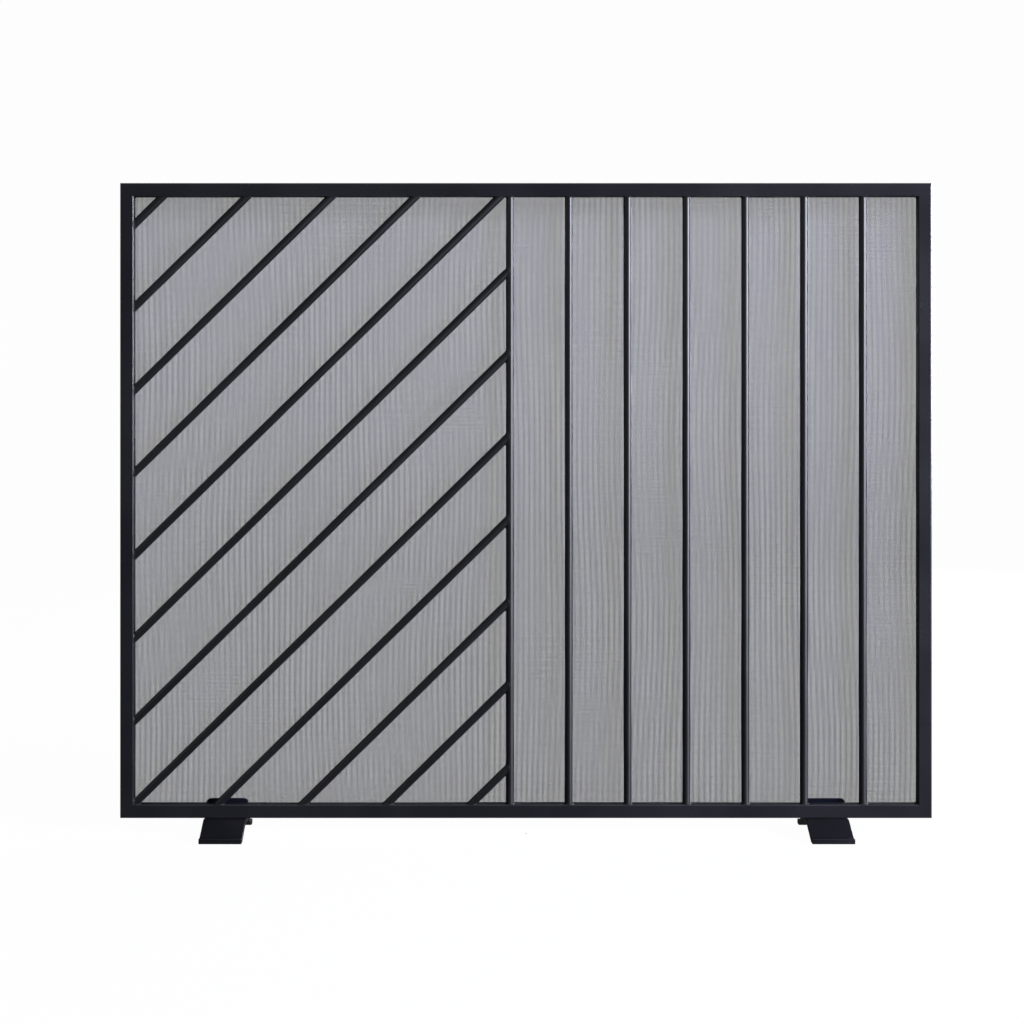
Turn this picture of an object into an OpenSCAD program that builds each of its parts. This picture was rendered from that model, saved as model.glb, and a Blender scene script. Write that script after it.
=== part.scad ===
// Free-standing fireplace screen: one flat panel of welded steel, with a bay of
// slanted bars beside a bay of upright bars, wire cloth behind them, and two
// bolt-on feet.
// The front faces -Y, +X is to the right seen from the front, and the feet
// stand on z = 0 under the middle of the panel. All sizes are in millimetres.

/* [Frame] */
// Overall width of the frame
frame_w = 965; // [700:5:1300]
// Height of the frame, without the feet
frame_h = 755; // [560:5:1000]
// Side of the square tube
tube = 16; // [13:0.5:25]
// Wall of the square tube
tube_wall = 1.2; // [0.8:0.1:2]
// Outer corner radius of the square tube
tube_corner = 1.5; // [0.5:0.1:2.5]

/* [Bars] */
// Diameter of the round bars
rod_d = 9.5; // [6:0.5:12]
// How far the bars' fronts lie behind the frame's front face
rod_setback = 0.5; // [0:0.1:1]
// Number of upright bars, with the one that divides the two bays
upright_count = 7; // [2:1:12]
// Middle of the dividing bar, from the middle of the frame
divider_x = -19; // [-100:0.1:100]
// Slanted bars above the one in the bottom left corner
slanted_above = 7; // [2:1:10]
// Slanted bars below the one in the bottom left corner
slanted_below = 4; // [1:1:7]
// From the top left inner corner to the first slanted bar's middle
upper_gap = 23.6; // [12:0.1:40]
// From the bottom right corner of the slanted bay to the last bar's middle
lower_gap = 28.8; // [12:0.1:40]
// How far short of the dividing bar's middle the slanted bars' tips are trimmed
tip_trim = 2; // [1:0.5:3]

/* [Wire cloth] */
// Diameter of the cloth's wires, two of which make its thickness
wire_d = 0.5; // [0.3:0.05:0.8]
// Width of the flat strips that hold the cloth
strip_w = 12; // [9:0.5:13]
// Thickness of those strips
strip_t = 1.5; // [1:0.1:3]
// Gap where two strips meet
strip_gap = 0.5; // [0.2:0.1:2]
// How far the cloth's edge lies inside the strips' outer edge
cloth_inset = 0.5; // [0.2:0.1:2]
// Screws along the top strip
top_screws = 7; // [3:1:12]
// Screws along the bottom strip, between the feet
bottom_screws = 5; // [3:1:10]
// Screws along each side strip
side_screws = 5; // [2:1:9]
// From the end of the frame to the first screw of a strip
screw_end = 30; // [20:1:60]

/* [Cloth screws] */
// Root diameter of the strip screws
cloth_screw_d = 3; // [2:0.1:4]
// Length of the strip screws under the head
cloth_screw_l = 9.5; // [6:0.5:12]
// Head diameter of the strip screws
cloth_head_d = 6.5; // [5:0.1:8]
// Head height of the strip screws
cloth_head_h = 2.2; // [1.2:0.1:3]

/* [Feet] */
// Height of the frame's underside above the hearth
lift = 20; // [12:1:60]
// Width of the flat bar of a foot
foot_w = 50; // [40:1:80]
// Thickness of that bar
foot_t = 6; // [3:0.5:8]
// How far a foot reaches in front of the frame's middle, and behind it
foot_reach = 55; // [40:1:160]
// Length of the flat toe at each end of a foot
toe_l = 10; // [5:1:20]
// Bend radius at the middle of the bar's thickness
foot_bend = 6; // [4:0.5:12]
// From the end of the frame to the middle of a foot
foot_inset = 125; // [80:1:200]

/* [Foot brackets] */
// Thickness of the upright plate that holds a foot
lug_t = 3; // [2:0.5:5]
// How far that plate rises above the bottom rail
lug_rise = 3.5; // [0:0.5:8]
// Corner radius of the plate
lug_corner = 5; // [2:0.5:7]
// Distance between a foot's two screws
foot_screw_pitch = 30; // [20:1:36]
// Diameter of the foot screws
foot_screw_d = 5; // [4:0.5:6]
// Head diameter of the foot screws
foot_head_d = 9.5; // [8:0.1:11]
// Head height of the foot screws
foot_head_h = 2.7; // [2:0.1:4]
// Width across flats of the socket in the head
socket_af = 3; // [2:0.5:4]
// Body diameter of the threaded insert
insert_d = 7; // [6.5:0.1:8.5]
// Length of the insert inside the rail
insert_l = 8; // [6:0.5:10]
// Flange diameter of the insert
insert_flange_d = 9.5; // [8.5:0.1:11]
// Flange thickness of the insert
insert_flange_t = 0.6; // [0.4:0.1:0.8]

/* [Fits] */
// Diameter added to a hole for the screw or insert that passes through it
hole_clearance = 0.6; // [0.3:0.1:1]
// Diameter added to a hole that grips a thread or an insert
grip_clearance = 0.1; // [0.05:0.05:0.3]

/* [Hidden] */
$fn = 48;
past = 1;

cloth_t = 2 * wire_d;
strip_inset = (tube - strip_w) / 2;

// Inner corners of the frame, and its middle lines
left_x = -frame_w / 2 + tube;
right_x = frame_w / 2 - tube;
bottom_z = lift + tube;
top_z = lift + frame_h - tube;
inner_h = top_z - bottom_z;
stile_x = frame_w / 2 - tube / 2;
bottom_rail_z = lift + tube / 2;
top_rail_z = lift + frame_h - tube / 2;
middle_z = lift + frame_h / 2;

// The clear gap between upright bars is also the gap between the last bar and
// the right stile
rod_y = -tube / 2 + rod_setback + rod_d / 2;
upright_gap = (right_x - divider_x + rod_d / 2) / upright_count - rod_d;
upright_pitch = upright_gap + rod_d;

// One angle spaces the slanted bars evenly both above and below the corner bar.
// It solves rise * cos(angle) - run * sin(angle) = offset.
bay_w = divider_x - rod_d / 2 - left_x;
rise = inner_h / slanted_above;
run = bay_w / slanted_below;
offset = upper_gap / slanted_above - lower_gap / slanted_below;
slant = acos(offset / norm([rise, run])) - atan2(run, rise);
slanted_pitch = (inner_h * cos(slant) - upper_gap) / slanted_above;
slanted_count = slanted_above + 1 + slanted_below;
rod_reach = frame_w + frame_h;

// Layers behind the frame
cloth_y = tube / 2;
strip_y = cloth_y + cloth_t;
lug_y = strip_y + strip_t;

foot_x = frame_w / 2 - foot_inset;
foot_flat = lug_y + lug_t + 1;
lug_h = tube + lug_rise;
foot_screw_l = lug_t + strip_t + cloth_t + tube_wall + insert_l;

// Screw places, as x or z along each strip
end_x = frame_w / 2 - screw_end;
beside_foot_x = foot_x - foot_w / 2 - cloth_head_d * 3;
top_xs = spread(top_screws, end_x);
bottom_xs = concat([-end_x], spread(bottom_screws, beside_foot_x), [end_x]);
side_zs = spread(side_screws, frame_h / 2 - tube - screw_end);
top_points = [for (x = top_xs) [x, top_rail_z]];
bottom_points = [for (x = bottom_xs) [x, bottom_rail_z]];
left_points = [for (z = side_zs) [-stile_x, middle_z + z]];
right_points = [for (z = side_zs) [stile_x, middle_z + z]];
cloth_points = concat(top_points, bottom_points, left_points, right_points);
foot_points = [
    for (side = [-1, 1], part = [-1, 1])
        [side * foot_x + part * foot_screw_pitch / 2, bottom_rail_z]
];

uprights = [for (i = [1:upright_count]) str("upright_bar_", i)];
slanteds = [for (i = [1:slanted_count]) str("slanted_bar_", i)];

black = [0.13, 0.13, 0.15];
foot_black = [0.1, 0.1, 0.13];
screw_black = [0.2, 0.2, 0.21];
zinc = [0.62, 0.62, 0.6];

// n places spaced evenly from -half to +half
function spread(n, half) = [for (i = [0:n - 1]) -half + 2 * half * i / (n - 1)];

// One edge of a bar bent at corner from direction d1 to d2, side from its middle
function bend(corner, d1, d2, side) =
    let (
        way = sign(d2 - d1),
        start = corner - foot_bend * tan(abs(d2 - d1) / 2) * [cos(d1), sin(d1)],
        centre = start + foot_bend * way * [-sin(d1), cos(d1)]
    )
    [
        for (i = [0:6])
            let (a = d1 + (d2 - d1) * i / 6)
                centre + (side - foot_bend * way) * [-sin(a), cos(a)]
    ];

// One edge of a foot's side view, from its front end to its rear end
function foot_edge(side) =
    let (
        low = foot_t / 2,
        high = lift - foot_t / 2,
        knee = foot_reach - toe_l,
        fall = atan2(high - low, knee - foot_flat)
    )
    concat(
        [[-foot_reach, low + side]],
        bend([-knee, low], 0, fall, side),
        bend([-foot_flat, high], fall, 0, side),
        bend([foot_flat, high], 0, -fall, side),
        bend([knee, low], -fall, 0, side),
        [[foot_reach, low + side]]
    );

function reversed(points) = [for (i = [len(points) - 1:-1:0]) points[i]];

// Stands a shape drawn in x and z up, with its thickness t from y backwards
module upright(y, t) {
    translate([0, y + t, 0])
        rotate([90, 0, 0])
            linear_extrude(t)
                children();
}

// Bores along y, from y backwards through depth, at each [x, z] point
module bores(points, d, y, depth) {
    for (p = points)
        translate([p[0], y - past, p[1]])
            rotate([-90, 0, 0])
                cylinder(d = d, h = depth + 2 * past);
}

// Flat rectangle with its corners rounded
module rounded_rectangle(size, r) {
    square([size[0] - 2 * r, size[1]], center = true);
    square([size[0], size[1] - 2 * r], center = true);
    for (x = [-1, 1], y = [-1, 1])
        translate([x * (size[0] / 2 - r), y * (size[1] / 2 - r)])
            circle(r);
}

// Square tube along x, its outer side up and its ends mitred at 45 degrees
module mitred_tube(length) {
    outer = length / 2 + past;
    inner = length / 2 - tube - past;
    edge = tube / 2 + past;
    intersection() {
        rotate([90, 0, 90])
            linear_extrude(length + 2 * past, center = true)
                difference() {
                    rounded_rectangle([tube, tube], tube_corner);
                    square(tube - 2 * tube_wall, center = true);
                }
        upright(-edge, 2 * edge)
            polygon([[-outer, edge], [outer, edge], [inner, -edge], [-inner, -edge]]);
    }
}

// Holes through a tube's rear wall
module rear_holes(points, d) {
    bores(points, d + grip_clearance, tube / 2 - tube_wall, tube_wall);
}

module top_rail() {
    color(black)
        difference() {
            translate([0, 0, top_rail_z])
                mitred_tube(frame_w);
            rear_holes(top_points, cloth_screw_d);
        }
}

module bottom_rail() {
    color(black)
        difference() {
            translate([0, 0, bottom_rail_z])
                rotate([0, 180, 0])
                    mitred_tube(frame_w);
            rear_holes(bottom_points, cloth_screw_d);
            rear_holes(foot_points, insert_d);
        }
}

module left_stile() {
    color(black)
        difference() {
            translate([-stile_x, 0, middle_z])
                rotate([0, -90, 0])
                    mitred_tube(frame_h);
            rear_holes(left_points, cloth_screw_d);
        }
}

module right_stile() {
    color(black)
        difference() {
            translate([stile_x, 0, middle_z])
                rotate([0, 90, 0])
                    mitred_tube(frame_h);
            rear_holes(right_points, cloth_screw_d);
        }
}

// Upright bar number i from the left: the first one divides the two bays
module upright_bar(i) {
    color(black)
        translate([divider_x + (i - 1) * upright_pitch, rod_y, bottom_z])
            cylinder(d = rod_d, h = inner_h);
}

// Slanted bar number i from the top left, cut to the frame and to the divider
module slanted_bar(i) {
    steps = slanted_above + 1 - i;
    color(black)
        difference() {
            intersection() {
                translate([left_x, rod_y, bottom_z])
                    rotate([0, -slant, 0])
                        translate([0, 0, steps * slanted_pitch])
                            rotate([0, 90, 0])
                                cylinder(d = rod_d, h = 2 * rod_reach, center = true);
                translate([left_x, rod_y - rod_d, bottom_z])
                    cube([divider_x - tip_trim - left_x, 2 * rod_d, inner_h]);
            }
            translate([divider_x, rod_y, bottom_z - past])
                cylinder(d = rod_d, h = inner_h + 2 * past);
        }
}

// Woven wire cloth, as a plain sheet as thick as its two layers of wire
module wire_cloth() {
    edge = strip_inset + cloth_inset;
    color(black)
        difference() {
            translate([-frame_w / 2 + edge, cloth_y, lift + edge])
                cube([frame_w - 2 * edge, cloth_t, frame_h - 2 * edge]);
            bores(cloth_points, cloth_screw_d + hole_clearance, cloth_y, cloth_t);
            bores(foot_points, insert_flange_d + hole_clearance, cloth_y, cloth_t);
        }
}

// Flat strip from one corner [x, z] of a rectangle to the opposite one
module strip(low, high, points) {
    color(black)
        difference() {
            translate([low[0], strip_y, low[1]])
                cube([high[0] - low[0], strip_t, high[1] - low[1]]);
            bores(points, cloth_screw_d + hole_clearance, strip_y, strip_t);
            bores(foot_points, foot_screw_d + hole_clearance, strip_y, strip_t);
        }
}

module top_strip() {
    x = frame_w / 2 - strip_inset;
    z = top_rail_z;
    strip([-x, z - strip_w / 2], [x, z + strip_w / 2], top_points);
}

module bottom_strip() {
    x = frame_w / 2 - strip_inset;
    z = bottom_rail_z;
    strip([-x, z - strip_w / 2], [x, z + strip_w / 2], bottom_points);
}

// Side strip around the middle line x
module side_strip(x, points) {
    low = bottom_rail_z + strip_w / 2 + strip_gap;
    high = top_rail_z - strip_w / 2 - strip_gap;
    strip([x - strip_w / 2, low], [x + strip_w / 2, high], points);
}

module left_strip() {
    side_strip(-stile_x, left_points);
}

module right_strip() {
    side_strip(stile_x, right_points);
}

// Pan-head screws through the strips and the cloth into the tubes
module strip_screws() {
    color(screw_black)
        for (p = cloth_points)
            translate([p[0], lug_y, p[1]])
                rotate([-90, 0, 0]) {
                    difference() {
                        cylinder(d1 = cloth_head_d, d2 = cloth_head_d * 0.8, h = cloth_head_h);
                        for (turn = [0, 90])
                            rotate(turn)
                                translate([-cloth_head_d * 0.3, -0.5, cloth_head_h / 2])
                                    cube([cloth_head_d * 0.6, 1, cloth_head_h]);
                    }
                    translate([0, 0, -cloth_screw_l])
                        cylinder(d = cloth_screw_d, h = cloth_screw_l);
                }
}

// Foot bar: toe, leg, flat middle under the rail, leg and toe
module foot(x) {
    color(foot_black)
        translate([x - foot_w / 2, 0, 0])
            rotate([90, 0, 90])
                linear_extrude(foot_w)
                    polygon(concat(foot_edge(-foot_t / 2), reversed(foot_edge(foot_t / 2))));
}

module left_foot() {
    foot(-foot_x);
}

module right_foot() {
    foot(foot_x);
}

// Plate welded upright on a foot and screwed to the back of the bottom rail
module foot_plate(x) {
    color(foot_black)
        difference() {
            upright(lug_y, lug_t)
                translate([x, lift + lug_h / 2]) {
                    rounded_rectangle([foot_w, lug_h], lug_corner);
                    translate([-foot_w / 2, -lug_h / 2])
                        square([foot_w, lug_h / 2]);
                }
            bores(foot_points, foot_screw_d + hole_clearance, lug_y, lug_t);
        }
}

module left_foot_plate() {
    foot_plate(-foot_x);
}

module right_foot_plate() {
    foot_plate(foot_x);
}

// Button-head screws that hold the feet
module foot_screws() {
    color(screw_black)
        for (p = foot_points)
            translate([p[0], lug_y + lug_t, p[1]])
                rotate([-90, 0, 0])
                    difference() {
                        union() {
                            cylinder(d1 = foot_head_d, d2 = foot_head_d * 0.6, h = foot_head_h);
                            translate([0, 0, -foot_screw_l])
                                cylinder(d = foot_screw_d, h = foot_screw_l + foot_head_h / 2);
                        }
                        translate([0, 0, foot_head_h / 3])
                            cylinder(d = socket_af / cos(30), h = foot_head_h, $fn = 6);
                    }
}

// Threaded inserts riveted into the rear wall of the bottom rail
module foot_inserts() {
    depth = tube_wall + insert_l;
    color(zinc)
        for (p = foot_points)
            translate([p[0], tube / 2, p[1]])
                rotate([-90, 0, 0])
                    difference() {
                        union() {
                            cylinder(d = insert_flange_d, h = insert_flange_t);
                            translate([0, 0, -depth])
                                cylinder(d = insert_d, h = depth + insert_flange_t / 2);
                        }
                        translate([0, 0, -depth - past])
                            cylinder(d = foot_screw_d + grip_clearance, h = depth + insert_l);
                    }
}

top_rail();
bottom_rail();
left_stile();
right_stile();
for (i = [1:upright_count]) upright_bar(i);
for (i = [1:slanted_count]) slanted_bar(i);
wire_cloth();
top_strip();
bottom_strip();
left_strip();
right_strip();
strip_screws();
left_foot();
right_foot();
left_foot_plate();
right_foot_plate();
foot_screws();
foot_inserts();
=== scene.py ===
"""A fireplace screen: its finishes, its woven wire, its welds, feet and screws."""
import math

import bpy
import numpy as np
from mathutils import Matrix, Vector


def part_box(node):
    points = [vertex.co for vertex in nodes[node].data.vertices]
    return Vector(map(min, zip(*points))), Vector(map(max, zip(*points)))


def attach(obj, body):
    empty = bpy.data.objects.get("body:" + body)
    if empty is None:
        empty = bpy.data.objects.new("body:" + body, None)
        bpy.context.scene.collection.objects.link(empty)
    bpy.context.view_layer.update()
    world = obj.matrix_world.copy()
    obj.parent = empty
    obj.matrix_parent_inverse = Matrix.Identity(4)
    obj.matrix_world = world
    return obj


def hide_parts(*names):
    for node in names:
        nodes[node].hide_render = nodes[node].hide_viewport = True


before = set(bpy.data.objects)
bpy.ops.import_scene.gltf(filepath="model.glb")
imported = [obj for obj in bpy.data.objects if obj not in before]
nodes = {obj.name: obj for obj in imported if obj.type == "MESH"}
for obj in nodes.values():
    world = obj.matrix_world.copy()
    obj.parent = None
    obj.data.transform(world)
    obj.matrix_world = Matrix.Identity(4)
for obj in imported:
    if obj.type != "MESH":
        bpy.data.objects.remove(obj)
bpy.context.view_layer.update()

# ---------------------------------------------------------------- sizes, in metres

CLOTH_PITCH = 0.00106      # from wire to wire, both ways
CLOTH_SIDES = 6            # faces round a wire
CLOTH_STEPS = 15           # faces along a wire
CLOTH_DRIFT = 0.0006       # how far the weave wanders from straight
CLOTH_EDGE = 0.02          # width along the cloth's edges where it comes back to straight
WARP_BANDS = (0.0066, 0.00026)     # width of the bands of upright wires, and the pull
WEFT_BANDS = (0.0047, 0.00006)     # the same for the level wires

WELD_LEG = 0.0011          # leg of the fillet round a bar's end
CORNER_LEG = 0.0016        # leg of the fillet in the frame's inner corners
PLATE_LEG = 0.0016         # leg of the bead behind a foot plate
HEEL_TILT = 0.25           # how far that bead leans down over the foot's bend
WELD_CROWN = 0.00016       # rise of the weld where a bar runs flush into another
RING_POINTS = 56           # points round a welded bar
BEAD_POINTS = 7            # points across a weld's face

FOOT_TOE = 0.010           # flat toe at each end of a foot
FOOT_BEND = 0.006          # bend radius at the middle of the foot's bar
FOOT_HEEL = 0.001          # flat bar left behind a foot plate
FOOT_EDGE = 0.0007         # rolled edge of the foot's bar

STRIP_HEAD_D = 0.0065      # head of a strip screw
STRIP_HEAD_H = 0.0022
STRIP_SHANK_D = 0.003
POINT_LENGTH = 0.003       # taper at a strip screw's tip
CROSS_ARM = 0.00055        # half the width of a cross recess's arm
CROSS_SLOPE = 0.00022      # slope of its walls
CROSS_REACH = 0.0020       # how far its arms run from the axis
CROSS_DEPTH = 0.0012
FOOT_HEAD_D = 0.0095       # head of a foot screw
FOOT_HEAD_H = 0.0027
FOOT_SHANK_D = 0.005
FOOT_SOCKET = 0.003        # across the flats of its socket
FOOT_CHAMFER = 0.0005      # at the end of its shank
SCUFF_HEIGHT = 0.007       # how far up a foot its toes are scuffed
PEEL_DEPTH = 0.00004       # of a powder coat's orange peel
RUBBED_FROM = 0.78         # where the rubbing near a tube's corner lines starts
SCREW_POINTS = 48          # points round a screw

FLOOR_RADIUS = 4.0         # of the studio floor
BOWL_BEND = 1.5            # radius of the bend from floor to wall
BOWL_HEIGHT = 5.0
BOWL_GLOW = 0.975          # light the paper adds of its own
ROOM_LIGHT = 0.05          # even light from all round

EYE_DISTANCE = 2.3         # from the screen's face to the camera
EYE_SIDE = -0.049          # camera, from the screen's middle
EYE_HEIGHT = 0.53          # camera, above the floor
EYE_SHIFT = (0.0266, -0.12)
VIEW_SHARE = 0.793         # part of the view's width that the frame fills
SENSOR = 36.0              # millimetres

MIDDLE = (0.0, 0.0, 0.4)           # what most lamps are aimed at
HEARTH = (0.0, 0.0, 0.1)           # what the low lamps are aimed at
COOL = (0.81, 0.84, 1.0)
WHITE = (1.0, 1.0, 1.0)

# Each lamp's place, target, width, height, watts and colour.
LAMPS = {
    "key_right": ((2.77, -1.6, 1.05), MIDDLE, 1.3, 1.0, 265.0, COOL),
    "low_right": ((2.77, -1.6, 0.25), HEARTH, 1.3, 0.4, 30.0, COOL),
    "broad_top": ((0.3, -0.8, 3.2), MIDDLE, 2.4, 2.4, 20.0, WHITE),
    "weak_left": ((-2.8, -1.6, 1.4), MIDDLE, 1.2, 1.6, 8.0, WHITE),
    "side_back": ((2.2, 2.6, 0.9), MIDDLE, 1.6, 1.2, 165.0, WHITE),
    "low_back": ((0.4, 3.0, 0.72), HEARTH, 2.6, 0.5, 0.8, WHITE),
}

# Each powder coat's colour where thin and where thick, the scale of its orange peel
# and its middle roughness.
COATS = {
    "tube": ((0.010, 0.010, 0.0125), (0.0145, 0.0145, 0.0175), 900.0, 0.255),
    "bar": ((0.0045, 0.0045, 0.0055), (0.007, 0.007, 0.0085), 1100.0, 0.38),
    "strip": ((0.005, 0.005, 0.006), (0.008, 0.008, 0.009), 900.0, 0.48),
    "weld": ((0.005, 0.005, 0.006), (0.009, 0.009, 0.010), 700.0, 0.42),
    "foot": ((0.0040, 0.0040, 0.0055), (0.0062, 0.0062, 0.0082), 800.0, 0.33),
}


def corners(name):
    """Lowest and highest corner of a CAD node, as two arrays."""
    low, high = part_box(name)
    return np.array(low), np.array(high)


def named(start):
    """The CAD nodes whose names start so and end in a number, in that number's order."""
    found = [n for n in nodes if n.startswith(start) and n[len(start):].isdigit()]
    return sorted(found, key=lambda n: int(n[len(start):]))


uprights = named("upright_bar_")
slanteds = named("slanted_bar_")
feet = ["left_foot", "right_foot"]

frame_low, frame_high = corners("top_rail")
tube = frame_high[2] - frame_low[2]
front_y = frame_low[1]
back_y = frame_high[1]
left_x = corners("left_stile")[1][0]
right_x = corners("right_stile")[0][0]
bottom_z = corners("bottom_rail")[1][2]
top_z = frame_low[2]
middle_z = (corners("bottom_rail")[0][2] + frame_high[2]) / 2

divider_low, divider_high = corners(uprights[0])
rod_r = (divider_high[0] - divider_low[0]) / 2
rod_y = (divider_low[1] + divider_high[1]) / 2
divider_x = divider_low[0] + rod_r

# A slanted bar that runs from the stile to the top rail spans its box from corner
# to corner along its lower side, which gives its slope and its middle line.
first_low, first_high = corners(slanteds[1])
slant = math.atan2(first_high[2] - first_low[2], first_high[0] - first_low[0])
slant_along = np.array([math.cos(slant), 0.0, math.sin(slant)])
slant_across = np.array([-math.sin(slant), 0.0, math.cos(slant)])


def height_across(name):
    """How far a slanted bar's middle line lies along slant_across, from its box."""
    low, _ = corners(name)
    return float(low @ slant_across) + rod_r


slant_first = height_across(slanteds[0])
slant_pitch = slant_first - height_across(slanteds[1])

# The bars that run into the dividing bar stop short of its middle line.
tip_gap = (divider_x - corners(slanteds[-1])[1][0]) / math.cos(slant)


# ---------------------------------------------------------------- mesh helpers

def grid_faces(rows, columns, close_rows=False, close_columns=True):
    """Quads over a grid of points numbered row by row. Each face takes a point, the
    next one along its row, and the two after them in the next row; a closed
    direction joins its last line of points to its first."""
    down = np.arange(rows if close_rows else rows - 1)[:, None]
    over = np.arange(columns if close_columns else columns - 1)[None, :]
    next_down = (down + 1) % rows
    next_over = (over + 1) % columns
    quads = [
        down * columns + over,
        down * columns + next_over,
        next_down * columns + next_over,
        next_down * columns + over,
    ]
    return np.stack(quads, axis=-1).reshape(-1, 4)


def repeated(faces, copies, points_each):
    """The same faces for each of several copies, their numbers moved on by one copy's
    points each time."""
    shift = np.arange(copies)[:, None, None] * points_each
    return (faces[None] + shift).reshape(-1, faces.shape[1])


def caps(rows, columns):
    """The two flat faces that close a grid's first and last ring of points."""
    first = np.arange(columns)[None]
    return np.concatenate([first[:, ::-1], first + (rows - 1) * columns])


def volume(points, groups):
    """Signed volume inside closed faces: a sixth of the sum, over each face's fan of
    triangles, of one corner's product with the cross product of the other two."""
    total = 0.0
    for group in groups:
        first = points[group[:, 0]]
        for i in range(1, group.shape[1] - 1):
            second, third = points[group[:, i]], points[group[:, i + 1]]
            total += np.sum(first * np.cross(second, third)) / 6
    return total


def build(name, points, face_groups, material):
    """Puts points and groups of equal-sided faces into a new mesh piece that rides on
    the screen. Faces that all point inwards are turned round."""
    points = np.asarray(points, float).reshape(-1, 3)
    groups = [np.asarray(g, np.int32) for g in face_groups]
    if volume(points - points.mean(0), groups) < 0:
        groups = [g[:, ::-1] for g in groups]
    sides = np.concatenate([np.full(len(g), g.shape[1], np.int32) for g in groups])
    loops = np.concatenate([g.ravel() for g in groups])
    mesh = bpy.data.meshes.new(name)
    mesh.vertices.add(len(points))
    mesh.vertices.foreach_set("co", points.astype(np.float32).ravel())
    mesh.loops.add(len(loops))
    mesh.loops.foreach_set("vertex_index", loops)
    mesh.polygons.add(len(sides))
    mesh.polygons.foreach_set("loop_start", np.concatenate([[0], np.cumsum(sides)[:-1]]))
    mesh.polygons.foreach_set("use_smooth", np.ones(len(sides), bool))
    mesh.update(calc_edges=True)
    mesh.validate()
    mesh.materials.append(material)
    piece = bpy.data.objects.new(name, mesh)
    bpy.context.scene.collection.objects.link(piece)
    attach(piece, "root")
    return piece


def sharpen(piece, degrees):
    """Keeps smooth shading except across edges that fold by more than an angle."""
    piece.data.set_sharp_from_angle(angle=math.radians(degrees))


# ---------------------------------------------------------------- materials

class Finish:
    """A short way to write a node material: each call adds one node and joins it."""

    def __init__(self, name):
        self.material = bpy.data.materials.new(name)
        self.material.use_nodes = True
        self.tree = self.material.node_tree
        self.tree.nodes.clear()
        self.shader = self.add("ShaderNodeBsdfPrincipled")
        output = self.add("ShaderNodeOutputMaterial")
        self.join(self.shader.outputs[0], output.inputs["Surface"])
        self.place = self.add("ShaderNodeTexCoord").outputs["Object"]

    def add(self, kind, **settings):
        node = self.tree.nodes.new(kind)
        for key, value in settings.items():
            setattr(node, key, value)
        return node

    def join(self, source, target):
        self.tree.links.new(source, target)

    def math(self, operation, first, second=0.0, third=0.0):
        """One arithmetic step; each value is a number or another node's output."""
        node = self.add("ShaderNodeMath", operation=operation)
        for socket, value in zip(node.inputs, (first, second, third)):
            if isinstance(value, (int, float)):
                socket.default_value = value
            else:
                self.join(value, socket)
        return node.outputs[0]

    def noise(self, scale, detail=3.0, reach=(1, 1, 1), turn=0.0, roughness=0.5):
        """Fractal noise over the object's own metres, from 0 to 1, drawn out by reach
        along each axis after the axes are turned about y."""
        mapping = self.add("ShaderNodeMapping", vector_type="TEXTURE")
        mapping.inputs["Rotation"].default_value = (0.0, turn, 0.0)
        mapping.inputs["Scale"].default_value = reach
        self.join(self.place, mapping.inputs["Vector"])
        node = self.add("ShaderNodeTexNoise")
        node.inputs["Scale"].default_value = scale
        node.inputs["Detail"].default_value = detail
        node.inputs["Roughness"].default_value = roughness
        self.join(mapping.outputs[0], node.inputs["Vector"])
        return node.outputs["Fac"]

    def cells(self, scale):
        """Distance to the nearest of scattered points, small in each cell's middle."""
        node = self.add("ShaderNodeTexVoronoi")
        node.inputs["Scale"].default_value = scale
        self.join(self.place, node.inputs["Vector"])
        return node.outputs["Distance"]

    def span(self, value, low, high, to_low, to_high):
        """Maps low..high smoothly onto to_low..to_high, held at the ends."""
        node = self.add("ShaderNodeMapRange", interpolation_type="SMOOTHSTEP")
        self.join(value, node.inputs["Value"])
        for key, number in (
            ("From Min", low), ("From Max", high), ("To Min", to_low), ("To Max", to_high)
        ):
            node.inputs[key].default_value = number
        return node.outputs[0]

    def blend(self, amount, first, second):
        """A colour part way from first to second."""
        node = self.add("ShaderNodeMix", data_type="RGBA")
        self.join(amount, node.inputs["Factor"])
        for socket, value in ((node.inputs[6], first), (node.inputs[7], second)):
            if isinstance(value, tuple):
                socket.default_value = (*value, 1.0)
            else:
                self.join(value, socket)
        return node.outputs[2]

    def colour(self, value):
        self.join(value, self.shader.inputs["Base Color"])

    def roughness(self, value):
        self.join(value, self.shader.inputs["Roughness"])

    def bump(self, height, distance):
        """Adds relief: one unit of height stands for that distance in metres."""
        node = self.add("ShaderNodeBump")
        node.inputs["Distance"].default_value = distance
        node.inputs["Strength"].default_value = 1.0
        self.join(height, node.inputs["Height"])
        self.join(node.outputs[0], self.shader.inputs["Normal"])

    def set(self, **values):
        for key, value in values.items():
            self.shader.inputs[key.replace("_", " ")].default_value = value


def corner_mask(finish, centre, axes):
    """1 on a square tube's corner lines and 0 on its flats: the two distances from the
    tube's middle line, each as a share of the half width, multiplied together."""
    split = finish.add("ShaderNodeSeparateXYZ")
    finish.join(finish.place, split.inputs[0])
    product = None
    for axis in axes:
        offset = finish.math("SUBTRACT", split.outputs[axis], centre[axis])
        share = finish.math("DIVIDE", finish.math("ABSOLUTE", offset), tube / 2)
        product = share if product is None else finish.math("MULTIPLY", product, share)
    return finish.span(product, RUBBED_FROM, 1.0, 0.0, 1.0)


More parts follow.
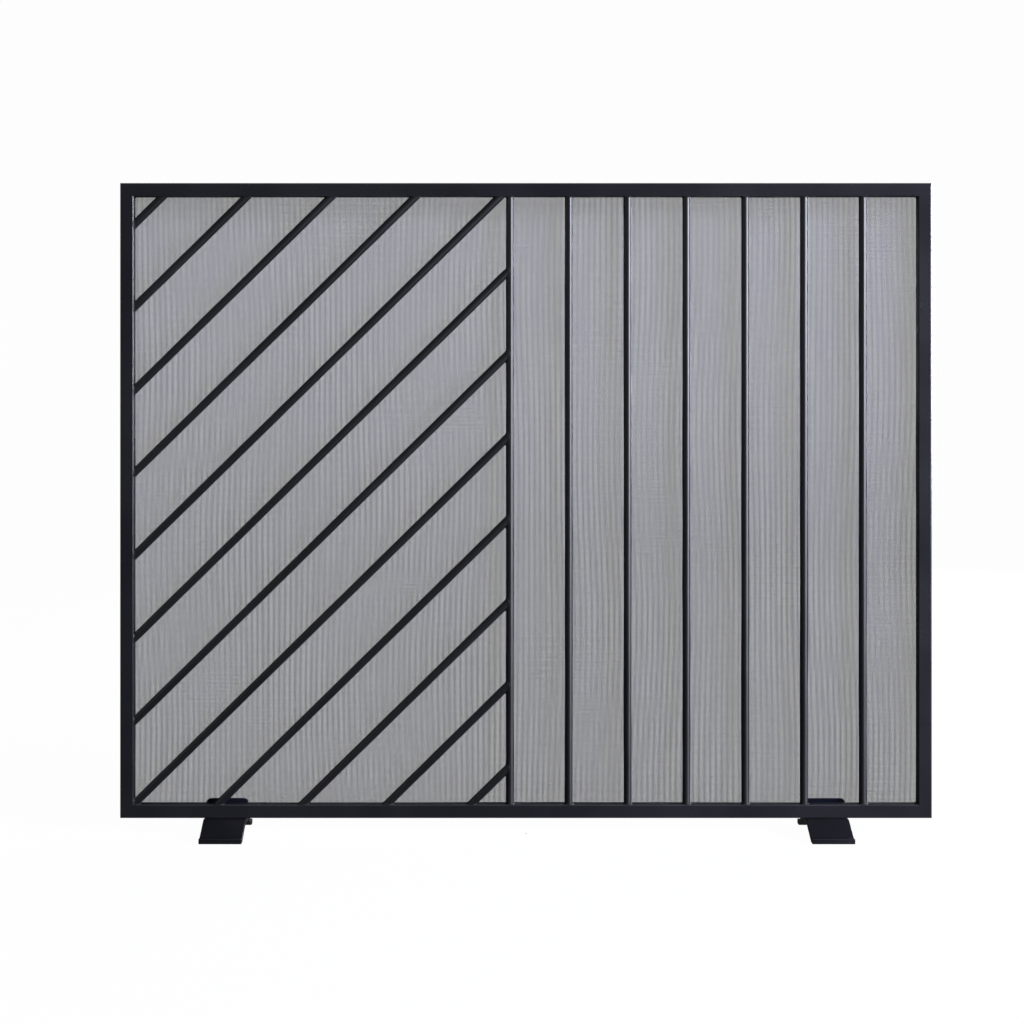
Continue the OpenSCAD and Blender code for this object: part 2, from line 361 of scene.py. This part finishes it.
def powder_coat(name, kind, edge=None, lines=None):
    """One of the satin black powder coats: a fine orange peel, a slow change of sheen
    where the coat is thicker, scattered specks, a paler rubbed part where edge says,
    and the steel's own draw lines or mill marks showing through, which lean from
    upright by the angle lines gives."""
    base, lift, peel, rough = COATS[kind]
    finish = Finish(name)
    slow = finish.noise(9.0, 4.0)
    peel_height = finish.noise(peel, 2.0, roughness=0.45)
    specks = finish.span(finish.cells(420.0), 0.05, 0.16, 1.0, 0.0)
    tone = finish.blend(finish.span(slow, 0.3, 0.7, 0.0, 1.0), base, lift)
    tone = finish.blend(finish.math("MULTIPLY", specks, 0.25), tone, lift)
    gloss = finish.math("MULTIPLY_ADD", slow, 0.14, rough - 0.07)
    gloss = finish.math("MULTIPLY_ADD", specks, 0.05, gloss)
    if edge is not None:
        worn = finish.math("MULTIPLY", edge(finish), finish.span(slow, 0.35, 0.75, 0.15, 0.8))
        tone = finish.blend(worn, tone, tuple(3.0 * c for c in lift))
        gloss = finish.math("MULTIPLY_ADD", worn, -0.08, gloss)
    finish.colour(tone)
    if lines is not None:
        drawn = finish.noise(1500.0, 2.0, (1.0, 1.0, 60.0), lines)
        peel_height = finish.math("MULTIPLY_ADD", drawn, 0.7, peel_height)
        gloss = finish.math("MULTIPLY_ADD", drawn, 0.06, gloss)
    finish.roughness(gloss)
    finish.bump(peel_height, PEEL_DEPTH)
    return finish.material


def scuffs(finish):
    """1 near the floor, falling to 0 where scuffs end, broken up by drawn-out noise."""
    split = finish.add("ShaderNodeSeparateXYZ")
    finish.join(finish.place, split.inputs[0])
    low = finish.span(split.outputs[2], 0.0, SCUFF_HEIGHT, 1.0, 0.0)
    scratch = finish.span(finish.noise(160.0, 5.0, (0.33, 1.7, 1.0)), 0.52, 0.72, 0.0, 1.0)
    return finish.math("MULTIPLY", low, scratch)


def wire_finish():
    """Black-painted steel wire: a dull coat with a faint blue sheen, and dusty spots
    that come and go."""
    finish = Finish("wire_black")
    cloud = finish.noise(14.0, 5.0)
    grit = finish.noise(2600.0, 2.0)
    tone = finish.blend(finish.span(cloud, 0.35, 0.7, 0.0, 1.0),
                        (0.010, 0.012, 0.024), (0.018, 0.022, 0.042))
    finish.colour(finish.blend(finish.span(grit, 0.55, 0.8, 0.0, 0.6), tone, (0.030, 0.034, 0.055)))
    finish.roughness(finish.math("MULTIPLY_ADD", cloud, 0.2, 0.36))
    finish.bump(grit, 0.00003)
    finish.set(Specular_Tint=(0.55, 0.62, 1.0, 1.0))
    return finish.material


def screw_finish():
    """Black oxide on steel: metal with a brown to blue cast and bright rubbed spots."""
    finish = Finish("screw_black_oxide")
    cloud = finish.noise(240.0, 4.0)
    tone = finish.blend(finish.span(cloud, 0.35, 0.65, 0.0, 1.0),
                        (0.030, 0.028, 0.026), (0.050, 0.052, 0.060))
    rub = finish.span(finish.noise(900.0, 3.0), 0.62, 0.78, 0.0, 0.5)
    finish.colour(finish.blend(rub, tone, (0.22, 0.21, 0.20)))
    finish.roughness(finish.math("MULTIPLY_ADD", cloud, 0.25, 0.27))
    finish.bump(finish.noise(3000.0, 2.0), 0.00002)
    finish.set(Metallic=0.85)
    return finish.material


def zinc_finish():
    """Zinc plate: pale metal with a mottled grain."""
    finish = Finish("zinc_plate")
    grain = finish.cells(500.0)
    finish.colour(finish.blend(finish.span(grain, 0.1, 0.7, 0.0, 1.0),
                               (0.55, 0.55, 0.51), (0.40, 0.41, 0.40)))
    finish.roughness(finish.math("MULTIPLY_ADD", grain, 0.2, 0.32))
    finish.bump(grain, 0.00002)
    finish.set(Metallic=1.0)
    return finish.material


# ---------------------------------------------------------------- the woven wire

def weave_drift(x, z):
    """How far the cloth wanders at a place, as two sums of long slow waves, one for
    each direction."""
    across = (
        0.5 * np.sin(2 * np.pi * (x / 0.61 + z / 0.47) + 0.4)
        + 0.3 * np.sin(2 * np.pi * (x / 0.29 - z / 0.53) + 2.1)
        + 0.2 * np.sin(2 * np.pi * (z / 0.31) + 1.3)
    )
    along = (
        0.5 * np.sin(2 * np.pi * (z / 0.57 - x / 0.66) + 1.7)
        + 0.3 * np.sin(2 * np.pi * (z / 0.33 + x / 0.41) + 0.6)
        + 0.2 * np.sin(2 * np.pi * (x / 0.27) + 2.9)
    )
    return CLOTH_DRIFT * across, CLOTH_DRIFT * along


def weave_bands(across, along, bands):
    """How far wires are pulled sideways into tight and open bands, as uneven weaving
    leaves them: a sine across the cloth whose phase wanders slowly along it, and
    whose depth comes and goes."""
    phase = (
        0.40 * np.sin(2 * np.pi * (along / 0.52 + across / 0.83) + 0.7)
        + 0.25 * np.sin(2 * np.pi * (along / 0.36 - across / 0.44) + 2.2)
    )
    width, pull = bands
    depth = 0.75 + 0.25 * np.sin(2 * np.pi * (along / 0.48 + across / 0.21) + 1.1)
    return pull * depth * np.sin(2 * np.pi * (across / width + phase))


def wires(name, low, high, upright, layer_y, radius, material):
    """One layer of the cloth. Wire i runs at i pitches from the edge; at each of a few
    stations along it a six-sided ring, as wide and as deep as the wire, stands round
    the middle line, which drifts with the weave and its bands and comes back to
    straight at the cloth's edges. Each end is closed by one flat face."""
    run_axis, step_axis = (2, 0) if upright else (0, 2)
    length = high[step_axis] - low[step_axis] - 2 * radius
    count = int(length / CLOTH_PITCH) + 1
    step = length / (count - 1)
    place = low[step_axis] + radius + step * np.arange(count)
    station = np.linspace(low[run_axis], high[run_axis], CLOTH_STEPS + 1)
    place, station = np.meshgrid(place, station, indexing="ij")
    drift_x, drift_z = weave_drift(*((place, station) if upright else (station, place)))
    drift = drift_x if upright else drift_z
    drift = drift + weave_bands(place, station, WARP_BANDS if upright else WEFT_BANDS)
    edge = np.minimum(place - low[step_axis] - radius, high[step_axis] - radius - place)
    place = place + drift * np.clip(edge / CLOTH_EDGE, 0, 1)
    turn = 2 * np.pi * np.arange(CLOTH_SIDES) / CLOTH_SIDES
    points = np.empty((count, CLOTH_STEPS + 1, CLOTH_SIDES, 3))
    points[..., step_axis] = place[..., None] + radius * np.cos(turn)
    points[..., 1] = layer_y + radius * np.sin(turn) / math.sin(np.pi / 3)
    points[..., run_axis] = station[..., None]
    each = (CLOTH_STEPS + 1) * CLOTH_SIDES
    side = repeated(grid_faces(CLOTH_STEPS + 1, CLOTH_SIDES), count, each)
    ends = repeated(caps(CLOTH_STEPS + 1, CLOTH_SIDES), count, each)
    return build(name, points, [side, ends], material)


# ---------------------------------------------------------------- the welds

def bar_hit(base, along, planes, divider, sense):
    """How far along the bar each line of its surface runs before it meets the steel:
    the nearest of some flat faces and, if there is one, the dividing bar's round
    side. sense is +1 towards the bar's far end and -1 towards its near end."""
    best = np.full(len(base), np.inf)
    normal = np.zeros_like(base)
    for axis, value, facing in planes:
        if abs(along[axis]) < 1e-9:
            continue
        reach = (value - base[:, axis]) / along[axis] * sense
        nearer = reach < best
        best = np.where(nearer, reach, best)
        normal[nearer] = facing
    if divider:
        half = np.sqrt(np.clip(rod_r ** 2 - (base[:, 1] - rod_y) ** 2, 0, None))
        reach = (divider_x - half - base[:, 0]) / along[0] * sense
        nearer = reach < best
        best = np.where(nearer, reach, best)
        round_side = np.stack([-half, base[:, 1] - rod_y, np.zeros(len(base))], 1) / rod_r
        normal = np.where(nearer[:, None], round_side, normal)
    return best * sense, normal


def weld_ring(middle, along, across, planes, divider, sense, seed):
    """The fillet round one end of a bar: for each direction round the bar, a short
    curve that leaves the steel face one leg out from the joint, bulges, and lands one
    leg up the bar. Where the bar's side runs nearly flush with the steel, the curve
    grows into a low crown. The leg swells and shrinks with two sines round the bar,
    as a hand-laid bead does, and the front is dressed flush with the frame."""
    turn = sense * 2 * np.pi * np.arange(RING_POINTS) / RING_POINTS
    around = np.cos(turn)[:, None] * across + np.sin(turn)[:, None] * np.array([0.0, 1.0, 0.0])
    base = middle + rod_r * around
    reach, normal = bar_hit(base, along, planes, divider, sense)
    joint = base + reach[:, None] * along
    out = around - normal * np.sum(normal * around, 1, keepdims=True)
    size = np.linalg.norm(out, axis=1, keepdims=True)
    flush = np.clip(1 - size / 0.6, 0, 1)
    out = out / np.maximum(size, 0.35)
    swell = 1 + 0.13 * np.sin(9 * turn + seed) + 0.08 * np.sin(17 * turn + 2.3 * seed)
    leg = (WELD_LEG * swell)[:, None]
    foot = joint + leg * out
    rise = joint - sense * (leg + flush * tip_gap) * along
    chord = (foot + rise) / 2
    knee = chord + 0.2 * (chord - joint) + WELD_CROWN * flush * around
    root = joint - 0.35 * leg * (out - sense * along) - (0.2 + flush) * WELD_LEG * around
    t = np.linspace(0, 1, BEAD_POINTS)[None, :, None]
    face = (1 - t) ** 2 * foot[:, None] + 2 * t * (1 - t) * knee[:, None] + t ** 2 * rise[:, None]
    ring = np.concatenate([face, root[:, None]], axis=1)
    ring[..., 1] = np.maximum(ring[..., 1], front_y + 0.00005)
    return ring


def bar_welds(name, bars, material):
    """All the fillets of one set of bars. bars holds for each: a point on its middle
    line, its direction, the direction across it, and whether it ends on the
    dividing bar."""
    low_planes = [(0, left_x, (1.0, 0.0, 0.0)), (2, bottom_z, (0.0, 0.0, 1.0))]
    high_planes = [(2, top_z, (0.0, 0.0, -1.0))]
    rings = []
    for i, (middle, along, across, divider) in enumerate(bars):
        rings.append(weld_ring(middle, along, across, low_planes, False, -1, 1.7 * i))
        rings.append(weld_ring(middle, along, across, high_planes, divider, 1, 1.7 * i + 0.9))
    rows = BEAD_POINTS + 1
    one = grid_faces(RING_POINTS, rows, close_rows=True)
    faces = repeated(one, len(rings), RING_POINTS * rows)
    return build(name, np.stack(rings), [faces], material)


def bead(start, end, out_a, out_b, leg, seed, points=40):
    """A straight fillet between two faces: at each station a bulging curve from one
    face to the other, a leg long that ripples with two sines and shrinks along a
    quarter circle at both ends."""
    if np.cross(end - start, out_a) @ out_b < 0:
        out_a, out_b = out_b, out_a
    s = np.linspace(0, 1, points)
    length = float(np.linalg.norm(end - start))
    taper = np.sqrt(np.clip(1 - np.clip(1 - np.minimum(s, 1 - s) * length / leg, 0, 1) ** 2, 0.02, 1))
    ripple = 1 + 0.10 * np.sin(2 * np.pi * s * length / 0.0021 + seed) + 0.06 * np.sin(9 * s + seed)
    size = (leg * taper * ripple)[:, None]
    joint = start + s[:, None] * (end - start)
    foot = joint + size * out_a
    rise = joint + size * out_b
    chord = (foot + rise) / 2
    knee = chord + 0.15 * (chord - joint)
    root = joint - 0.25 * leg * (out_a + out_b)
    t = np.linspace(0, 1, BEAD_POINTS)[None, :, None]
    face = (1 - t) ** 2 * foot[:, None] + 2 * t * (1 - t) * knee[:, None] + t ** 2 * rise[:, None]
    return np.concatenate([face, root[:, None]], axis=1)


def beads(name, runs, material):
    """Several straight fillets in one piece, each closed by a face at either end."""
    strips = [bead(*run) for run in runs]
    stations, rows = strips[0].shape[:2]
    side = repeated(grid_faces(stations, rows), len(strips), stations * rows)
    ends = repeated(caps(stations, rows), len(strips), stations * rows)
    return build(name, np.stack(strips), [side, ends], material)


# ---------------------------------------------------------------- the feet

def arc(corner, turn_from, turn_to, steps=10):
    """Points on the bend that rounds a corner between two directions, in the y-z
    plane: a circle of the bend radius that touches both straight lines."""
    way = np.sign(turn_to - turn_from)
    tangent = FOOT_BEND * math.tan(abs(turn_to - turn_from) / 2)
    start = corner - tangent * np.array([math.cos(turn_from), math.sin(turn_from)])
    centre = start + FOOT_BEND * way * np.array([-math.sin(turn_from), math.cos(turn_from)])
    angle = np.linspace(turn_from, turn_to, steps)
    spoke = np.stack([-np.sin(angle), np.cos(angle)], 1)
    return centre - FOOT_BEND * way * spoke, angle


def foot_path(reach, flat, low, high, edge):
    """Middle line of a foot's bar from front to rear, and its direction at each point:
    toe, leg, flat, leg and toe, with a round bend at each corner. Extra points near
    both ends let the end's edges be rolled."""
    knee = reach - FOOT_TOE
    fall = math.atan2(high - low, knee - flat)
    turns = [
        ((-knee, low), 0.0, fall),
        ((-flat, high), fall, 0.0),
        ((flat, high), 0.0, -fall),
        ((knee, low), -fall, 0.0),
    ]
    roll = edge * (1 - np.cos(np.linspace(0, np.pi / 2, 6)))
    front = np.stack([-reach + roll, np.full(6, low)], 1)
    rear = np.stack([reach - roll[::-1], np.full(6, low)], 1)
    lines, angles = [front], [np.zeros(6)]
    for corner, before, after in turns:
        line, angle = arc(np.array(corner), before, after)
        lines.append(line)
        angles.append(angle)
    lines.append(rear)
    angles.append(np.zeros(6))
    inset = np.zeros(sum(len(a) for a in angles))
    rolled = edge * (1 - np.sin(np.linspace(0, np.pi / 2, 6)))
    inset[:6] = rolled
    inset[-6:] = rolled[::-1]
    return np.concatenate(lines), np.concatenate(angles), inset


def foot_bar(name, node, flat, material):
    """One foot: the flat bar's rounded-rectangle section carried along its bent middle
    line, and drawn in at both ends so that their edges are rolled too."""
    low, high = corners(node)
    cad = np.array([v.co for v in nodes[node].data.vertices])
    thick = cad[cad[:, 1] < low[1] + 1e-5][:, 2].max() - low[2]
    line, angle, inset = foot_path(high[1], flat, thick / 2, high[2] - thick / 2, FOOT_EDGE)
    half = np.array([(high[0] - low[0]) / 2, thick / 2])
    quarter = np.linspace(0, np.pi / 2, 5)
    corner_turns = [quarter + i * np.pi / 2 for i in range(4)]
    signs = [(1, 1), (-1, 1), (-1, -1), (1, -1)]
    section, push = [], []
    for turns, sign in zip(corner_turns, signs):
        spoke = np.stack([np.cos(turns), np.sin(turns)], 1)
        section.append((half - FOOT_EDGE) * np.array(sign) + FOOT_EDGE * spoke)
        push.append(spoke)
    section, push = np.concatenate(section), np.concatenate(push)
    drawn = section[None] - inset[:, None, None] * push[None]
    up = np.stack([-np.sin(angle), np.cos(angle)], 1)
    points = np.empty((len(line), len(section), 3))
    points[..., 0] = (low[0] + high[0]) / 2 + drawn[..., 0]
    points[..., 1:] = line[:, None] + drawn[..., 1:] * up[:, None]
    faces = [grid_faces(len(line), len(section)), caps(len(line), len(section))]
    piece = build(name, points, faces, material)
    sharpen(piece, 50)
    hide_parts(node)
    return piece


# ---------------------------------------------------------------- the screws

def revolved(profile, centres, bend=None):
    """A profile of (radius, depth) rows carried round each screw's axis, which runs
    along y. bend may change each point from its radius, depth and angle. The first
    and the last row close in one point each, on the axis."""
    turn = 2 * np.pi * np.arange(SCREW_POINTS) / SCREW_POINTS
    radius = np.repeat(profile[:, 0:1], SCREW_POINTS, 1)
    depth = np.repeat(profile[:, 1:2], SCREW_POINTS, 1)
    if bend is not None:
        radius, depth = bend(radius, depth, turn)
    rings = np.stack([radius * np.cos(turn), depth, radius * np.sin(turn)], -1)
    poles = [[0.0, depth[0].mean(), 0.0], [0.0, depth[-1].mean(), 0.0]]
    one = np.concatenate([rings.reshape(-1, 3), poles])
    points = centres[:, None, :] + one[None]
    rows = len(profile)
    over = np.arange(SCREW_POINTS)
    after = (over + 1) % SCREW_POINTS
    last = (rows - 1) * SCREW_POINTS
    near = np.stack([np.full(SCREW_POINTS, rows * SCREW_POINTS), after, over], 1)
    far = np.stack([np.full(SCREW_POINTS, rows * SCREW_POINTS + 1), last + over, last + after], 1)
    copies = len(centres)
    quads = repeated(grid_faces(rows, SCREW_POINTS), copies, len(one))
    fans = repeated(np.concatenate([near, far]), copies, len(one))
    return points, [quads, fans]


def screw_seats(node, head_d, seat_y):
    """Where a node's screws sit. Its points come screw by screw, so a new screw starts
    where they jump further than a head is wide, and the middle of its own box is on
    its axis."""
    points = np.array([v.co for v in nodes[node].data.vertices])[:, [0, 2]]
    jump = np.linalg.norm(np.diff(points, axis=0), axis=1) > 1.5 * head_d
    start = np.concatenate([[0], np.flatnonzero(jump) + 1])
    middle = (np.minimum.reduceat(points, start) + np.maximum.reduceat(points, start)) / 2
    return np.stack([middle[:, 0], np.full(len(middle), seat_y), middle[:, 1]], 1)


def cross_recess(radius, depth, turn):
    """Sinks a cross into the head's top: two arms, deep along their middle lines, that
    end inside the rim."""
    x, z = radius * np.cos(turn), radius * np.sin(turn)
    near = np.minimum(np.abs(x), np.abs(z))
    across = np.clip((CROSS_ARM - near) / CROSS_SLOPE, 0, 1)
    along = np.clip((CROSS_REACH - radius) / (2 * CROSS_SLOPE), 0, 1)
    on_top = depth > 0.4 * STRIP_HEAD_H
    return radius, depth - CROSS_DEPTH * across * along * on_top


def pan_head_screws(material):
    """Strip screws: a domed pan head with a cross recess, a flat underside, a plain
    shank and a point. The dome falls with a power of the radius and rolls over
    into the side of the head along a quarter circle."""
    seats = screw_seats("strip_screws", STRIP_HEAD_D, corners("top_strip")[1][1])
    length = seats[0, 1] - corners("strip_screws")[0][1]
    head_r = STRIP_HEAD_D / 2
    inner = 0.84 * head_r
    spread = np.linspace(0.02, 1, 26)
    dome = np.stack([inner * spread, STRIP_HEAD_H * (1 - 0.2 * spread ** 2.5)], 1)
    roll = np.linspace(0, np.pi / 2, 6)[1:]
    brow = np.stack([
        inner + (head_r - inner) * np.sin(roll),
        STRIP_HEAD_H * (0.8 - 0.35 * (1 - np.cos(roll))),
    ], 1)
    shank = STRIP_SHANK_D / 2
    rest = np.array([
        [head_r, 0.0], [shank, 0.0], [shank, POINT_LENGTH - length], [0.1 * shank, -length],
    ])
    points, faces = revolved(np.concatenate([dome, brow, rest]), seats, cross_recess)
    piece = build("pan_head_screws", points, faces, material)
    sharpen(piece, 34)
    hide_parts("strip_screws")
    return piece


def button_head_screws(material):
    """Foot screws: a low round head with a hexagon socket, a shank and a chamfered
    end. The first rows are the socket's floor, wall and lip, and their radius is a
    share of the distance to the hexagon's side; the dome after them is a quarter of
    an ellipse."""
    seats = screw_seats("foot_screws", FOOT_HEAD_D, corners("left_foot_plate")[1][1])
    length = seats[0, 1] - corners("foot_screws")[0][1]
    floor = 0.3 * FOOT_HEAD_H
    socket = [(0.05, floor), (0.6, floor), (1.0, floor), (1.0, 0.9 * FOOT_HEAD_H),
              (1.07, 0.98 * FOOT_HEAD_H)]
    head_r, shank = FOOT_HEAD_D / 2, FOOT_SHANK_D / 2
    begin = math.asin(0.44)
    swing = np.linspace(begin, np.pi / 2, 12)
    dome = np.stack([
        head_r * np.sin(swing),
        FOOT_HEAD_H * (0.14 + 0.86 * np.cos(swing) / math.cos(begin)),
    ], 1)
    rest = np.array([
        [head_r, 0.0], [shank, 0.0], [shank, FOOT_CHAMFER - length],
        [shank - FOOT_CHAMFER, -length], [0.1 * shank, -length],
    ])

    def hexagon(radius, depth, turn):
        within = (turn + np.pi / 6) % (np.pi / 3) - np.pi / 6
        side = FOOT_SOCKET / 2 / np.cos(within)
        scale = np.ones(len(radius))[:, None] * np.ones_like(turn)
        scale[:len(socket)] = side
        return radius * scale, depth

    points, faces = revolved(np.concatenate([socket, dome, rest]), seats, hexagon)
    piece = build("button_head_screws", points, faces, material)
    sharpen(piece, 30)
    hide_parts("foot_screws")
    return piece


# ---------------------------------------------------------------- finishes on the CAD

def coat_node(name, material):
    """Gives a CAD node its material, in every slot it has."""
    for slot in nodes[name].material_slots:
        slot.material = material


def finish_frame():
    """The four tubes, each with its corner lines where its own middle line lies."""
    for name, across in (
        ("top_rail", (1, 2)), ("bottom_rail", (1, 2)),
        ("left_stile", (0, 1)), ("right_stile", (0, 1)),
    ):
        low, high = corners(name)
        middle = (low + high) / 2
        rubbed = lambda finish: corner_mask(finish, middle, across)
        coat_node(name, powder_coat(f"{name}_black", "tube", edge=rubbed))


# ---------------------------------------------------------------- the studio

def bowl():
    """A round seamless sweep: a flat floor, a quarter-circle bend and an upright wall,
    turned about the z axis. Only the camera sees it, so it casts no light."""
    bend = np.linspace(0, np.pi / 2, 24)
    radius = np.concatenate([[0.001], FLOOR_RADIUS + BOWL_BEND * np.sin(bend),
                             [FLOOR_RADIUS + BOWL_BEND]])
    height = np.concatenate([[0.0], BOWL_BEND * (1 - np.cos(bend)), [BOWL_HEIGHT]])
    turn = 2 * np.pi * np.arange(96) / 96
    points = np.stack([
        radius[:, None] * np.cos(turn),
        radius[:, None] * np.sin(turn),
        np.repeat(height[:, None], 96, 1),
    ], -1).reshape(-1, 3)
    mesh = bpy.data.meshes.new("bowl")
    mesh.from_pydata(points.tolist(), [], grid_faces(len(radius), 96).tolist())
    mesh.polygons.foreach_set("use_smooth", np.ones(len(mesh.polygons), bool))
    mesh.materials.append(backdrop_finish())
    sweep = bpy.data.objects.new("bowl", mesh)
    bpy.context.scene.collection.objects.link(sweep)
    sweep.visible_glossy = False
    sweep.visible_diffuse = False


def backdrop_finish():
    """Pale matt paper lit evenly from behind, so that no lamp leaves a pool on it."""
    finish = Finish("backdrop_paper")
    cloud = finish.noise(1.2, 2.0)
    finish.colour(finish.blend(cloud, (0.020, 0.020, 0.020), (0.024, 0.024, 0.024)))
    finish.set(Roughness=0.9, Specular_IOR_Level=0.0)
    finish.set(Emission_Color=(1.0, 1.0, 1.0, 1.0), Emission_Strength=BOWL_GLOW)
    return finish.material


def softbox(name, place, target, width, height, power, colour):
    """A rectangular lamp at a place, facing a target, with its height kept upright. The
    camera doesn't see it."""
    light = bpy.data.lights.new(name, "AREA")
    light.shape = "RECTANGLE"
    light.size = width
    light.size_y = height
    light.energy = power
    light.color = colour
    lamp = bpy.data.objects.new(name, light)
    lamp.location = place
    aim = Vector(target) - Vector(place)
    lamp.rotation_euler = aim.to_track_quat("-Z", "Y").to_euler()
    lamp.visible_camera = False
    bpy.context.scene.collection.objects.link(lamp)


def studio():
    """A dim even room and the lamps: the key at the right with a low one under it, a
    broad one above, a weak one at the left, one behind at the side for the back, and
    a faint one low behind that lines the feet's toes."""
    world = bpy.context.scene.world or bpy.data.worlds.new("studio")
    bpy.context.scene.world = world
    world.use_nodes = True
    background = world.node_tree.nodes["Background"]
    background.inputs["Color"].default_value = (1.0, 1.0, 1.0, 1.0)
    background.inputs["Strength"].default_value = ROOM_LIGHT
    for name, settings in LAMPS.items():
        softbox(name, *settings)


def camera():
    """Stands straight in front, a little above the screen's middle, and looks level;
    the shift brings the whole screen into the frame."""
    lens = bpy.data.cameras.new("camera")
    lens.sensor_width = SENSOR
    lens.lens = SENSOR * VIEW_SHARE * EYE_DISTANCE / (frame_high[0] - frame_low[0])
    lens.shift_x = EYE_SHIFT[0]
    lens.shift_y = EYE_SHIFT[1]
    eye = bpy.data.objects.new("camera", lens)
    eye.location = (EYE_SIDE, front_y - EYE_DISTANCE, EYE_HEIGHT)
    eye.rotation_euler = (math.pi / 2, 0.0, 0.0)
    bpy.context.scene.collection.objects.link(eye)
    bpy.context.scene.camera = eye


# ---------------------------------------------------------------- putting it together

def cloth():
    """The two layers of wire, one behind the other, in the CAD sheet's place."""
    low, high = corners("wire_cloth")
    radius = (high[1] - low[1]) / 4
    black = wire_finish()
    warp = wires("warp_wires", low, high, True, low[1] + radius, radius, black)
    weft = wires("weft_wires", low, high, False, high[1] - radius, radius, black)
    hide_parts("wire_cloth")
    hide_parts("wire_cloth")


def bar_lines():
    """Every bar's middle point, its direction, the direction across it, and whether it
    may end on the dividing bar."""
    up, right = np.array([0.0, 0.0, 1.0]), np.array([1.0, 0.0, 0.0])
    lines = {"upright": [], "slanted": []}
    for name in uprights:
        low, high = corners(name)
        middle = np.array([(low[0] + high[0]) / 2, rod_y, middle_z])
        lines["upright"].append((middle, up, right, False))
    for i in range(len(slanteds)):
        middle = (slant_first - i * slant_pitch) * slant_across + np.array([0.0, rod_y, 0.0])
        lines["slanted"].append((middle, slant_along, slant_across, True))
    return lines


def welds():
    """The fillets at the bars' ends, in the frame's corners and behind the plates."""
    black = powder_coat("weld_black", "weld")
    lines = bar_lines()
    bar_welds("upright_bar_welds", lines["upright"], black)
    bar_welds("slanted_bar_welds", lines["slanted"], black)
    runs = []
    for x, out_x in ((left_x, 1.0), (right_x, -1.0)):
        for z, out_z in ((bottom_z, 1.0), (top_z, -1.0)):
            start = np.array([x, front_y + CORNER_LEG, z])
            end = np.array([x, back_y - CORNER_LEG, z])
            runs.append((start, end, np.array([out_x, 0, 0]), np.array([0, 0, out_z]),
                         CORNER_LEG, 50 * (x + z)))
    beads("frame_corner_welds", runs, black)
    runs = []
    for node in ("left_foot_plate", "right_foot_plate"):
        low, high = corners(node)
        start = np.array([low[0] + PLATE_LEG, high[1], low[2]])
        end = np.array([high[0] - PLATE_LEG, high[1], low[2]])
        down_heel = np.array([0, math.cos(HEEL_TILT), -math.sin(HEEL_TILT)])
        runs.append((start, end, down_heel, np.array([0, 0, 1.0]), PLATE_LEG, 9 * low[0]))
    beads("foot_plate_welds", runs, black)


camera()
studio()
bowl()
finish_frame()
foot_black = powder_coat("foot_black", "foot", edge=scuffs)
for names, material in (
    (uprights, powder_coat("upright_bar_black", "bar", lines=0.0)),
    (slanteds, powder_coat("slanted_bar_black", "bar", lines=math.pi / 2 - slant)),
    (["top_strip", "bottom_strip"], powder_coat("level_strip_black", "strip", lines=math.pi / 2)),
    (["left_strip", "right_strip"], powder_coat("upright_strip_black", "strip", lines=0.0)),
    (["left_foot_plate", "right_foot_plate"], foot_black),
    (["foot_inserts"], zinc_finish()),
):
    for name in names:
        coat_node(name, material)
cloth()
welds()
plate_back = corners("left_foot_plate")[1][1]
for name in feet:
    foot_bar(f"{name}_bar", name, plate_back + FOOT_HEEL, foot_black)
oxide = screw_finish()
pan_head_screws(oxide)
button_head_screws(oxide)

bpy.context.scene.view_settings.view_transform = "Standard"
